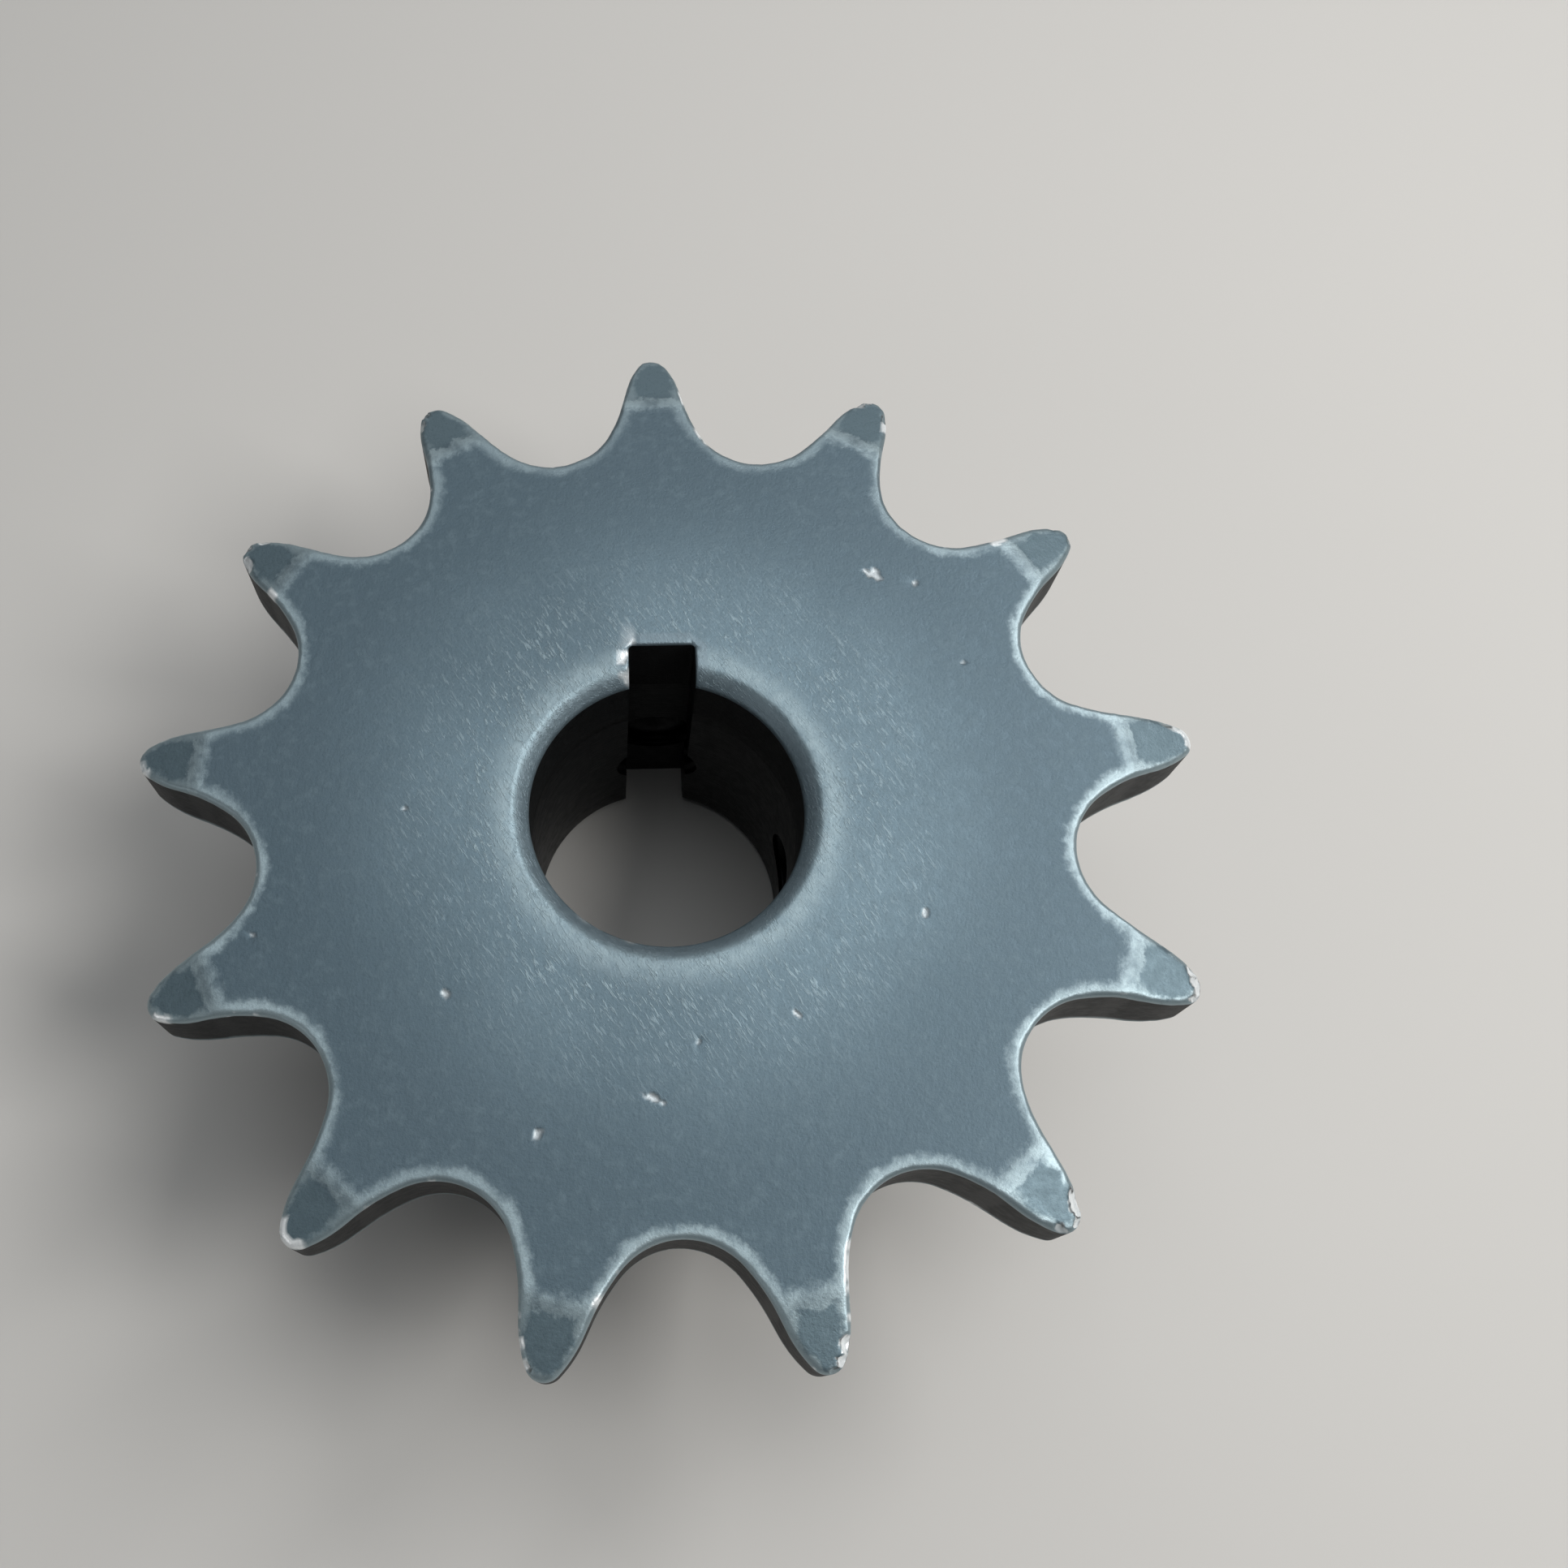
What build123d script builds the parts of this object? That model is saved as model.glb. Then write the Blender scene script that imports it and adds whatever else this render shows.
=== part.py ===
from build123d import *
import os
from math import atan2, cos, degrees, hypot, pi, radians, sin, tan

# Roller-chain sprocket with a hub on one side: a toothed plate, the hub welded to its back
# and the two set screws that lock it on a keyed shaft. All lengths are in millimetres.
# The origin is on the bore axis, midway through the width of the teeth (the chain line).
# +Z leaves through the plate's flush face, the hub is on the -Z side, +Y points at the keyway.

# Chain: 5/8 in pitch, 5/16 in between its inner plates
chain_pitch = 15.875
roller_diameter = 10.16
teeth = 13

# Toothed plate
tooth_width = 7.2
tip_radius = 36.85
crease_radius = 32.4  # where the tips start to slope on both faces
crease_round = 4.0
tip_slope = 12.0  # degrees
edge_round = 0.4

# Tooth flank: a seat for the roller, a working curve, a short straight and a topping curve
seat_radius = roller_diameter / 2 + 0.03
seat_angle = 41.0
working_offset = 0.8 * roller_diameter  # the working curve's centre from the roller's
working_angle = 14.0
straight_length = 1.0
topping_radius = 7.6

# Bore and keyway, for a 3/4 in shaft and a 3/16 in key
bore_radius = 9.525
bore_chamfer = 1.0
bore_rim_round = 0.5  # the worn outer edge of the chamfer
keyway_width = 4.7625
keyway_floor = 12.15  # from the bore axis

# Hub and its fillet weld
length_through_bore = 25.4
hub_radius = 20.6375
hub_end_chamfer = 1.2
hub_bore_chamfer = 0.8
weld_leg = 3.2
weld_bulge = 0.35

# Set screws: 1/4 in, 20 threads to the inch, with a hex socket and a cup point
screw_radius = 3.125
screw_length = 6.35
screw_hole_radius = 3.175
screw_hole_chamfer = 0.45
screw_from_hub_end = 8.5
screw_end_chamfer = 0.6
socket_flats = 3.175
socket_depth = 3.0
cup_radius = 1.7
cup_depth = 0.9
cup_bottom_radius = 0.05
key_screw_start = 13.0  # from the bore axis to the screw's point, backed off
side_screw_start = 10.3

overcut = 1.0  # how far cuts run past a surface

face_z = tooth_width / 2
back_z = -face_z
hub_end_z = face_z - length_through_bore
screw_z = hub_end_z + screw_from_hub_end
pitch_radius = chain_pitch / (2 * sin(pi / teeth))
half_step = 180 / teeth


def along(start, angle, distance):
    """The point at a distance from start, in a direction in degrees from +X."""
    return (start[0] + distance * cos(radians(angle)), start[1] + distance * sin(radians(angle)))


def direction(start, end):
    """The direction from start to end, in degrees from +X, between 0 and 360."""
    return degrees(atan2(end[1] - start[1], end[0] - start[0])) % 360


# Half of one tooth gap. The gap's centre line is +X, and the tooth's is at half_step degrees.
roller_centre = (pitch_radius, 0)
seat_end_direction = 90 + seat_angle
flank_direction = seat_end_direction - working_angle
seat_end = along(roller_centre, seat_end_direction, seat_radius)
working_centre = along(roller_centre, seat_end_direction, -working_offset)
working_radius = seat_radius + working_offset
working_end = along(working_centre, flank_direction, working_radius)
straight_end = along(working_end, flank_direction - 90, straight_length)
topping_centre = along(straight_end, flank_direction, topping_radius)

# The nose of the tooth is an arc on the tooth's centre line that ends the topping curve
# smoothly and reaches tip_radius. Its radius follows from those two conditions.
centre_distance = hypot(*topping_centre)
centre_offset = direction((0, 0), topping_centre) - half_step
centre_along = centre_distance * cos(radians(centre_offset)) - tip_radius
centre_across = centre_distance * sin(radians(centre_offset))
nose_radius = (topping_radius**2 - centre_across**2 - centre_along**2) / (
    2 * (topping_radius + centre_along)
)
nose_centre = along((0, 0), half_step, tip_radius - nose_radius)
topping_start = flank_direction + 180
topping_finish = direction(topping_centre, nose_centre)
topping_end = along(topping_centre, topping_finish, topping_radius)
nose_end = along((0, 0), half_step, tip_radius)
nose_middle_direction = (topping_finish + half_step + 360) / 2

with BuildSketch() as outline:
    with BuildLine() as outline_line:
        with BuildLine(mode=Mode.PRIVATE) as gap_line:
            ThreePointArc(
                along(roller_centre, 180, seat_radius),
                along(roller_centre, (180 + seat_end_direction) / 2, seat_radius),
                seat_end,
            )
            ThreePointArc(
                seat_end,
                along(working_centre, (seat_end_direction + flank_direction) / 2, working_radius),
                working_end,
            )
            Line(working_end, straight_end)
            ThreePointArc(
                straight_end,
                along(topping_centre, (topping_start + topping_finish) / 2, topping_radius),
                topping_end,
            )
            ThreePointArc(
                topping_end,
                along(nose_centre, nose_middle_direction, nose_radius),
                nose_end,
            )
            mirror(about=Plane.XZ)
        with PolarLocations(0, teeth, start_angle=90 + half_step):
            add(gap_line.line)
    make_face()

# The plate's half section, from the bore to beyond the tips. The flush face has a bore
# chamfer that is worn round at its outer edge, and both faces slope past a soft crease.
slope_end_radius = tip_radius + overcut
slope_end_z = face_z - (slope_end_radius - crease_radius) * tan(radians(tip_slope))
with BuildSketch(Plane.XZ) as plate_section:
    with BuildLine() as plate_line:
        Polyline(
            (bore_radius, back_z),
            (bore_radius, face_z - bore_chamfer),
            (bore_radius + bore_chamfer, face_z),
            (crease_radius, face_z),
            (slope_end_radius, slope_end_z),
            (slope_end_radius, -slope_end_z),
            (crease_radius, back_z),
            close=True,
        )
    make_face()
    creases = plate_section.vertices().filter_by(lambda v: abs(v.X - crease_radius) < 0.01)
    fillet(creases, crease_round)
    chamfer_rim = plate_section.vertices().filter_by(
        lambda v: abs(v.X - bore_radius - bore_chamfer) < 0.01
    )
    fillet(chamfer_rim, bore_rim_round)


def round_the_teeth(edge):
    """True for the edges that run round the teeth, on either face."""
    radii = [hypot(point.X, point.Y) for point in (edge @ 0, edge @ 0.5, edge @ 1)]
    is_arc_about_bore = max(radii) - min(radii) < 0.001 and max(radii) < tip_radius - 0.5
    return abs(edge.center().Z) > tooth_width / 4 and not is_arc_about_bore


with BuildPart() as toothed_plate:
    add(outline.sketch)
    extrude(amount=face_z, both=True)
    add(plate_section.sketch)
    revolve(axis=Axis.Z, mode=Mode.INTERSECT)
    fillet(toothed_plate.edges().filter_by(round_the_teeth), edge_round)
    with BuildSketch(Plane.XY.offset(back_z)):
        with Locations((0, keyway_floor / 2)):
            Rectangle(keyway_width, keyway_floor)
    extrude(amount=tooth_width, mode=Mode.SUBTRACT)
toothed_plate.part.label = "toothed_plate"

# The hub butts against the plate's back. Its tapped holes are drawn as plain holes that
# are a running fit on the screws: one over the keyway, one a quarter turn from it.
key_hole = Plane(origin=(0, 0, screw_z), x_dir=(1, 0, 0), z_dir=(0, 1, 0))
side_hole = Plane(origin=(0, 0, screw_z), x_dir=(0, 1, 0), z_dir=(1, 0, 0))
with BuildPart() as hub:
    with BuildSketch(Plane.XZ):
        with BuildLine():
            Polyline(
                (bore_radius, back_z),
                (hub_radius, back_z),
                (hub_radius, hub_end_z + hub_end_chamfer),
                (hub_radius - hub_end_chamfer, hub_end_z),
                (bore_radius + hub_bore_chamfer, hub_end_z),
                (bore_radius, hub_end_z + hub_bore_chamfer),
                close=True,
            )
        make_face()
    revolve(axis=Axis.Z)
    with BuildSketch(Plane.XY.offset(hub_end_z)):
        with Locations((0, keyway_floor / 2)):
            Rectangle(keyway_width, keyway_floor)
    extrude(amount=back_z - hub_end_z, mode=Mode.SUBTRACT)
    with BuildSketch(key_hole, side_hole):
        Circle(screw_hole_radius)
    extrude(amount=hub_radius + overcut, mode=Mode.SUBTRACT)
    chamfer_start = hub_radius - screw_hole_chamfer
    with BuildSketch(key_hole.offset(chamfer_start), side_hole.offset(chamfer_start)):
        Circle(screw_hole_radius)
    extrude(amount=overcut, taper=-45, mode=Mode.SUBTRACT)
hub.part.label = "hub"

# Fillet weld in the corner between the plate's back and the hub, with a slightly full face
with BuildPart() as weld_bead:
    with BuildSketch(Plane.XZ):
        with BuildLine():
            toe_on_plate = (hub_radius + weld_leg, back_z)
            toe_on_hub = (hub_radius, back_z - weld_leg)
            middle = (hub_radius + weld_leg / 2, back_z - weld_leg / 2)
            Line((hub_radius, back_z), toe_on_plate)
            ThreePointArc(toe_on_plate, along(middle, -45, weld_bulge), toe_on_hub)
            Line(toe_on_hub, (hub_radius, back_z))
        make_face()
    revolve(axis=Axis.Z)
weld_bead.part.label = "weld_bead"


def set_screw(seat):
    """A set screw whose cup point is at the seat's origin, with its axis along the seat's +Z."""
    with BuildPart(seat) as screw:
        Cylinder(screw_radius, screw_length, align=(Align.CENTER, Align.CENTER, Align.MIN))
        chamfer(screw.edges().filter_by(GeomType.CIRCLE), screw_end_chamfer)
        with BuildSketch(seat.offset(screw_length)):
            RegularPolygon(socket_flats / 2, 6, major_radius=False)
        extrude(amount=-socket_depth, mode=Mode.SUBTRACT)
        Cone(
            cup_radius,
            cup_bottom_radius,
            cup_depth,
            align=(Align.CENTER, Align.CENTER, Align.MIN),
            mode=Mode.SUBTRACT,
        )
    return screw


key_set_screw = set_screw(key_hole.offset(key_screw_start))
key_set_screw.part.label = "key_set_screw"
side_set_screw = set_screw(side_hole.offset(side_screw_start))
side_set_screw.part.label = "side_set_screw"

os.makedirs("parts", exist_ok=True)
export_step(toothed_plate.part, "parts/toothed_plate.step")
export_step(hub.part, "parts/hub.step")
export_step(weld_bead.part, "parts/weld_bead.step")
export_step(key_set_screw.part, "parts/key_set_screw.step")
export_step(side_set_screw.part, "parts/side_set_screw.step")
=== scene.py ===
import math

import bmesh
import bpy
import numpy as np
from mathutils import Matrix, Vector, geometry, kdtree, noise


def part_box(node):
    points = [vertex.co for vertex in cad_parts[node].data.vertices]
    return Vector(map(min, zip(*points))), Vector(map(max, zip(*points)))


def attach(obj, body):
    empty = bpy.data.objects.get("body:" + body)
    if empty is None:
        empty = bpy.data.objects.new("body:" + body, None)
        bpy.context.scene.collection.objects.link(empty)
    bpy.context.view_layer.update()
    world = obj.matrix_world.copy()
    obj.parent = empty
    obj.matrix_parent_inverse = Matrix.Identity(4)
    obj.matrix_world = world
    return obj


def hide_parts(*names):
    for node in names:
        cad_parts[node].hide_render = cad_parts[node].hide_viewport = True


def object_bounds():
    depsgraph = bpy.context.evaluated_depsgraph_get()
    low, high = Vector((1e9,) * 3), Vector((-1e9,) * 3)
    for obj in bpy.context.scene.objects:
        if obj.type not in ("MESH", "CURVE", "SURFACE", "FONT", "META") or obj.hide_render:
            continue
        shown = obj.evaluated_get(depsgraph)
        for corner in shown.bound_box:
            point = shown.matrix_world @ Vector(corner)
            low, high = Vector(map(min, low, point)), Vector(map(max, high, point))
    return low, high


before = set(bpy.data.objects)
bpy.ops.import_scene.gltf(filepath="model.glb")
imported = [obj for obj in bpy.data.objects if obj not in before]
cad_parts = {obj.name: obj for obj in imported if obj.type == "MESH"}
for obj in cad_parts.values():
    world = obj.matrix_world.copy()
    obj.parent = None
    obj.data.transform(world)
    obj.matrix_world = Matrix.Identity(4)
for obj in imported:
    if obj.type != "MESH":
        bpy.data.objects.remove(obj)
cad_low, cad_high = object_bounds()
noise.seed_set(1)  # noise_vector differs from run to run without a seed

# Lengths are in millimetres, and are turned into metres when a mesh is made. The camera and the
# lights are placed in metres.
MM = 0.001

# ---------------------------------------------------------------- sizes, as the CAD has them
PITCH, ROLLER, TEETH = 15.875, 10.16, 13
STEP = 360 / TEETH
HALF_STEP = STEP / 2
PITCH_RADIUS = PITCH / (2 * math.sin(math.pi / TEETH))
# Tooth flank: a seat for the roller, a working curve, a short straight and a topping curve.
# The directions are in degrees, and point into the metal.
SEAT_RADIUS = ROLLER / 2 + 0.03
SEAT_END_DIRECTION, FLANK_DIRECTION = 131.0, 117.0
WORKING_OFFSET = 0.8 * ROLLER
STRAIGHT_LENGTH, TOPPING_RADIUS, TIP_RADIUS = 1.0, 7.6, 36.85
CREASE_RADIUS, CREASE_ROUND, TIP_SLOPE = 32.4, 4.0, math.radians(12)
EDGE_ROUND = 0.4
FACE_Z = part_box("toothed_plate")[1].z / MM
BORE_RADIUS, BORE_CHAMFER = 9.525, 1.0
KEY_HALF, KEY_FLOOR = 2.38125, 12.15
HUB_RADIUS, HUB_END_CHAMFER, HUB_BORE_CHAMFER = 20.6375, 1.2, 0.8
HUB_END_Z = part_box("hub")[0].z / MM
WELD_LEG = 3.2
SCREW_Z = HUB_END_Z + 8.5
SCREW_LENGTH, SOCKET_DEPTH, SOCKET_HALF_FLATS = 6.35, 3.0, 1.5875

# ---------------------------------------------------------------- finer shapes, on the visual pieces only
RIM_ROUND = 0.8  # worn outer edge of the bore's chamfer
KEY_CORNER, LIP_ROUND = 0.3, 0.2
TIP_WEAR_RADIUS = 32  # the teeth are worn unevenly outside it
THREAD_PITCH, CREST_RADIUS, ROOT_RADIUS = 1.27, 3.12, 2.5
# Where the rows of points lie on the bore's wall and on the flanks, as shares of their depth
WALL_ROWS = (0.012, 0.03, 0.06, 0.12, 0.25, 0.5, 0.75)
FLANK_ROWS = (0.025, 0.05, 0.08, 0.115, 0.16, 0.22, 0.3, 0.4, 0.5, 0.6, 0.7, 0.8, 0.9)


# ---------------------------------------------------------------- wear on the plate, with painted highlights and shadows
# Teeth are counted counter-clockwise from the one on +Y. A place on a tooth is the length along
# its outline from the tip, positive counter-clockwise.

# How much further out each tip reaches than in the CAD
TIP_REACH = (0.25, 0.15, 0.1, 0.0, -0.1, 0.15, 0.1, 0.1, 0.45, 0.7, 0.75, 0.5, 0.35)
# Chips in the upper edge: tooth, place, scoop radius, depth, tilt above level in degrees, how bright
# inside, how dark the painted shadow at the rim is
CHIPS = (
    (1, 0.5, 0.6, 0.22, 40, 0.3, 0.9), (1, 1.9, 1.0, 0.14, 35, 0.5, 0.3),
    (2, 1.7, 1.3, 0.26, 40, 0.9, 0.2), (2, 0.1, 1.1, 0.18, 25, 0.5, 0.5),
    (2, -1.4, 0.8, 0.18, 35, 0.8, 0.2), (6, -1.2, 0.5, 0.18, 45, 0.3, 1.0),
    (7, 2.0, 0.9, 0.26, 52, 1.0, 0.9), (7, 1.0, 0.7, 0.24, 55, 1.0, 1.0),
    (7, 0.2, 0.6, 0.18, 40, 0.1, 0.8), (8, 1.4, 1.7, 0.34, 52, 1.0, 1.0),
    (8, 0.4, 0.8, 0.20, 45, 0.9, 0.7), (8, -1.1, 0.7, 0.20, 45, 0.6, 0.9),
    (9, 0.3, 4.0, 0.30, 50, 1.0, 0.5), (9, 1.4, 0.9, 0.22, 50, 1.0, 1.0),
    (9, -0.8, 0.8, 0.16, 45, 0.9, 0.7), (10, 2.0, 0.6, 0.20, 45, 0.2, 1.0),
    (11, -0.6, 1.2, 0.16, 25, 0.1, 0.5), (11, 1.1, 0.8, 0.14, 25, 0.3, 0.4),
    (12, 1.5, 0.8, 0.20, 35, 0.8, 0.3), (12, 0.6, 0.6, 0.14, 35, 0.7, 0.3),
    (12, -1.8, 0.6, 0.22, 30, 0.1, 0.9),
)
# Stretches of the upper edge rubbed to bare steel and painted near white as highlights: tooth, from, to,
# width
RUBS_AND_GLINTS = (
    (0, -5.6, -4.0, 0.22), (0, -9.6, -7.6, 0.3), (2, 4.8, 6.0, 0.4), (3, 0.1, 1.7, 0.45),
    (4, 0.5, 2.1, 0.4), (5, -1.9, 1.5, 0.55), (6, -3.1, -2.2, 0.35), (6, -1.8, -1.0, 0.3),
    (6, 5.6, 6.6, 0.4), (7, 5.0, 8.2, 0.35), (7, 3.4, 4.0, 0.3), (8, 0.3, 2.2, 0.3),
    (9, -0.9, 1.8, 0.5), (10, -0.8, 1.9, 0.5), (11, 5.2, 6.4, 0.5), (12, -3.3, -2.1, 0.4),
)
# Nicks in the face: x, y, length, width, heading in degrees
NICKS = (
    (-1.4, -19.6, 1.3, 0.5, -25), (-8.8, -21.5, 0.8, 0.5, 60), (7.9, -14.4, 0.9, 0.35, -35),
    (-14.9, -12.6, 1.0, 0.4, -50), (17.0, -7.9, 0.7, 0.45, 80), (15.7, 17.5, 1.3, 0.8, -30),
    (18.7, 16.7, 0.6, 0.4, 70), (21.4, 10.3, 0.5, 0.3, 20), (-17.9, 0.1, 0.6, 0.35, 10),
    (1.5, -16.1, 0.4, 0.25, 40), (-27.6, -8.4, 0.5, 0.4, 0),
)
# Lumps crushed out of the keyway's edge on -X: x, y, reach
CRUSHED = ((-2.5, 9.9, 0.38), (-2.75, 11.2, 0.5), (-2.35, 12.4, 0.38))


def unit(degrees):
    a = math.radians(degrees)
    return np.array([math.cos(a), math.sin(a)])


def heading(a, b):
    return math.degrees(math.atan2(b[1] - a[1], b[0] - a[0])) % 360


def make_object(name, vertices, faces, materials=(), smooth=True):
    """A mesh object from millimetre points, its faces turned outwards."""
    mesh = bpy.data.meshes.new(name)
    mesh.from_pydata([tuple(float(x) * MM for x in v) for v in vertices], [], faces)
    bm = bmesh.new()
    bm.from_mesh(mesh)
    bmesh.ops.recalc_face_normals(bm, faces=bm.faces)
    bm.to_mesh(mesh)
    bm.free()
    for m in materials:
        mesh.materials.append(m)
    if smooth:
        mesh.polygons.foreach_set("use_smooth", [True] * len(mesh.polygons))
    made = bpy.data.objects.new(name, mesh)
    bpy.context.scene.collection.objects.link(made)
    return made


def join_rings(rings):
    """A face for each gap between a closed ring of point numbers and the next ring."""
    quads = []
    for a, b in zip(rings, rings[1:]):
        for i in range(len(a)):
            k = (i + 1) % len(a)
            quads.append((int(a[i]), int(b[i]), int(b[k]), int(a[k])))
    return quads


def add_attribute(obj, name, values):
    attribute = obj.data.attributes.new(name, "FLOAT", "POINT")
    attribute.data.foreach_set("value", np.asarray(values, np.float32))


# ---------------------------------------------------------------- toothed plate
def tooth_flank():
    """Points from the middle of a gap, on +X, to a tooth's tip, with the directions into the metal."""
    roller = np.array([PITCH_RADIUS, 0.0])
    seat_end = roller + SEAT_RADIUS * unit(SEAT_END_DIRECTION)
    work_r = SEAT_RADIUS + WORKING_OFFSET
    work_c = seat_end - work_r * unit(SEAT_END_DIRECTION)
    work_end = work_c + work_r * unit(FLANK_DIRECTION)
    straight_end = work_end + STRAIGHT_LENGTH * unit(FLANK_DIRECTION - 90)
    top_c = straight_end + TOPPING_RADIUS * unit(FLANK_DIRECTION)
    distance = np.hypot(*top_c)
    offset = math.radians(heading((0, 0), top_c) - HALF_STEP)
    lengthwise = distance * math.cos(offset) - TIP_RADIUS
    across = distance * math.sin(offset)
    # The nose ends the topping curve smoothly, and reaches the tip's radius
    nose_r = (TOPPING_RADIUS**2 - across**2 - lengthwise**2) / (2 * (TOPPING_RADIUS + lengthwise))
    nose_c = (TIP_RADIUS - nose_r) * unit(HALF_STEP)
    top_finish = heading(top_c, nose_c)
    points, inward = [], []

    def arc(centre, radius, start, end, spacing, sign):
        count = max(2, math.ceil(abs(math.radians(end - start)) * radius / spacing))
        for i in range(count):
            d = unit(start + (end - start) * i / count)
            points.append(centre + radius * d)
            inward.append(sign * d)

    arc(roller, SEAT_RADIUS, 180, SEAT_END_DIRECTION, 0.34, 1)
    arc(work_c, work_r, SEAT_END_DIRECTION, FLANK_DIRECTION, 0.3, 1)
    for i in range(4):
        points.append(work_end + (straight_end - work_end) * i / 4)
        inward.append(unit(FLANK_DIRECTION))
    arc(top_c, TOPPING_RADIUS, FLANK_DIRECTION + 180, top_finish, 0.22, -1)
    arc(nose_c, nose_r, top_finish, HALF_STEP + 360, 0.11, -1)
    points.append(TIP_RADIUS * unit(HALF_STEP))
    inward.append(-unit(HALF_STEP))
    return np.array(points), np.array(inward)


def whole_outline():
    """The closed outline of the teeth, counter-clockwise from the tip on +Y."""
    p, n = tooth_flank()
    flip = np.array([1, -1])
    sector_p = np.vstack([p[:0:-1] * flip, p[:-1]])
    sector_n = np.vstack([n[:0:-1] * flip, n[:-1]])
    all_p, all_n = [], []
    for k in range(TEETH):
        c, s = unit(90 + HALF_STEP + k * STEP)
        turn = np.array([[c, -s], [s, c]])
        all_p.append(sector_p @ turn.T)
        all_n.append(sector_n @ turn.T)
    points, inward = np.vstack(all_p), np.vstack(all_n)
    angle = np.arctan2(points[:, 1], points[:, 0]) - math.pi / 2
    tooth = np.rint(angle / math.radians(STEP)).astype(int) % TEETH
    beyond = np.hypot(points[:, 0], points[:, 1]) - TIP_WEAR_RADIUS
    share = np.clip(beyond / (TIP_RADIUS - TIP_WEAR_RADIUS), 0, 1)
    centre_line = np.array([unit(90 + k * STEP) for k in tooth])
    points += centre_line * (np.array(TIP_REACH)[tooth] * share**2 * (3 - 2 * share))[:, None]
    return points, inward


def bore_outline(spacing=0.33):
    """The closed outline of the bore and its keyway, with the directions into the metal."""
    points, inward = [], []

    def line(a, b, d):
        a, b = np.array(a, float), np.array(b, float)
        count = max(2, math.ceil(np.hypot(*(b - a)) / spacing))
        for i in range(count):
            points.append(a + (b - a) * i / count)
            inward.append(np.array(d, float))

    def arc(centre, radius, start, end, step):
        count = max(3, math.ceil(abs(math.radians(end - start)) * radius / step))
        for i in range(count):
            d = unit(start + (end - start) * i / count)
            points.append(np.array(centre) + radius * d)
            inward.append(d)

    mouth_y = math.sqrt(BORE_RADIUS**2 - KEY_HALF**2)
    mouth = math.degrees(math.atan2(mouth_y, KEY_HALF))
    line((KEY_HALF, mouth_y), (KEY_HALF, KEY_FLOOR - KEY_CORNER), (1, 0))
    arc((KEY_HALF - KEY_CORNER, KEY_FLOOR - KEY_CORNER), KEY_CORNER, 0, 90, 0.12)
    line((KEY_HALF - KEY_CORNER, KEY_FLOOR), (KEY_CORNER - KEY_HALF, KEY_FLOOR), (0, 1))
    arc((KEY_CORNER - KEY_HALF, KEY_FLOOR - KEY_CORNER), KEY_CORNER, 90, 180, 0.12)
    line((-KEY_HALF, KEY_FLOOR - KEY_CORNER), (-KEY_HALF, mouth_y), (-1, 0))
    arc((0, 0), BORE_RADIUS, 180 - mouth, 360 + mouth, spacing)
    return np.array(points), np.array(inward)


def crown(r):
    """Height of the face at a radius, with its soft crease and the slope over the tips."""
    run = CREASE_ROUND * math.tan(TIP_SLOPE / 2)
    start = CREASE_RADIUS - run
    end = CREASE_RADIUS + run * math.cos(TIP_SLOPE)
    u = np.clip(r - start, 0, CREASE_ROUND)
    curve = FACE_Z - (CREASE_ROUND - np.sqrt(CREASE_ROUND**2 - u**2))
    slope = FACE_Z - (r - CREASE_RADIUS) * math.tan(TIP_SLOPE)
    return np.where(r < start, FACE_Z, np.where(r < end, curve, slope))


def bore_mouth(r):
    """How far the chamfer and its worn rim lower the flush face at a radius."""
    rim = BORE_RADIUS + BORE_CHAMFER
    run = RIM_ROUND * math.tan(math.radians(22.5))
    centre = rim + run
    u = np.clip(centre - r, 0, RIM_ROUND)
    curve = RIM_ROUND - np.sqrt(RIM_ROUND**2 - u**2)
    chamfer = rim - r
    return np.where(r > centre, 0, np.where(r > rim - run * math.cos(math.pi / 4), curve, chamfer))


def rounding(d, radius):
    """How far a rounded edge drops at a distance from it."""
    inside = np.clip(radius - d, 0, radius)
    return radius - np.sqrt(np.maximum(radius**2 - inside**2, 0))


def from_void(p):
    """Distance outside the bore and keyway."""
    q = np.maximum(np.abs(p - np.array([0, KEY_FLOOR / 2])) - np.array([KEY_HALF, KEY_FLOOR / 2]), 0)
    return np.minimum(np.hypot(p[:, 0], p[:, 1]) - BORE_RADIUS, np.hypot(q[:, 0], q[:, 1]))


def smooth_noise(x, y, z, scale, seed):
    return noise.noise(Vector((x * scale + seed, y * scale - seed, z * scale + 2 * seed)))


def inside_outline(p, ring):
    """Crossing test of points against a closed outline."""
    a, b = ring, np.roll(ring, -1, axis=0)
    inside = np.zeros(len(p), bool)
    for (ax, ay), (bx, by) in zip(a, b):
        crosses = (ay > p[:, 1]) != (by > p[:, 1])
        if crosses.any():
            x = ax + (p[:, 1] - ay) / (by - ay if by != ay else 1e-9) * (bx - ax)
            inside ^= crosses & (p[:, 0] < x)
    return inside


def nearest_on(p, ring):
    """For each point, the nearest point of the ring and its distance."""
    tree = kdtree.KDTree(len(ring))
    for i, q in enumerate(ring):
        tree.insert((q[0], q[1], 0), i)
    tree.balance()
    found = [tree.find((x, y, 0)) for x, y in p]
    return np.array([f[1] for f in found]), np.array([f[2] for f in found])


def places_on_teeth(outline):
    """The nearest tooth of each outline point, and its place along that tooth."""
    share = len(outline) // TEETH
    ahead = np.hypot(*(np.roll(outline, -1, axis=0) - outline).T)[:share]
    run = np.concatenate([[0], np.cumsum(ahead)])
    tooth, place = np.zeros(len(outline), int), np.zeros(len(outline))
    for i in range(len(outline)):
        k, j = divmod(i, share)
        past_gap = j > share / 2
        tooth[i] = (k + past_gap) % TEETH
        place[i] = run[j] - (run[-1] if past_gap else 0)
    return tooth, place


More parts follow.
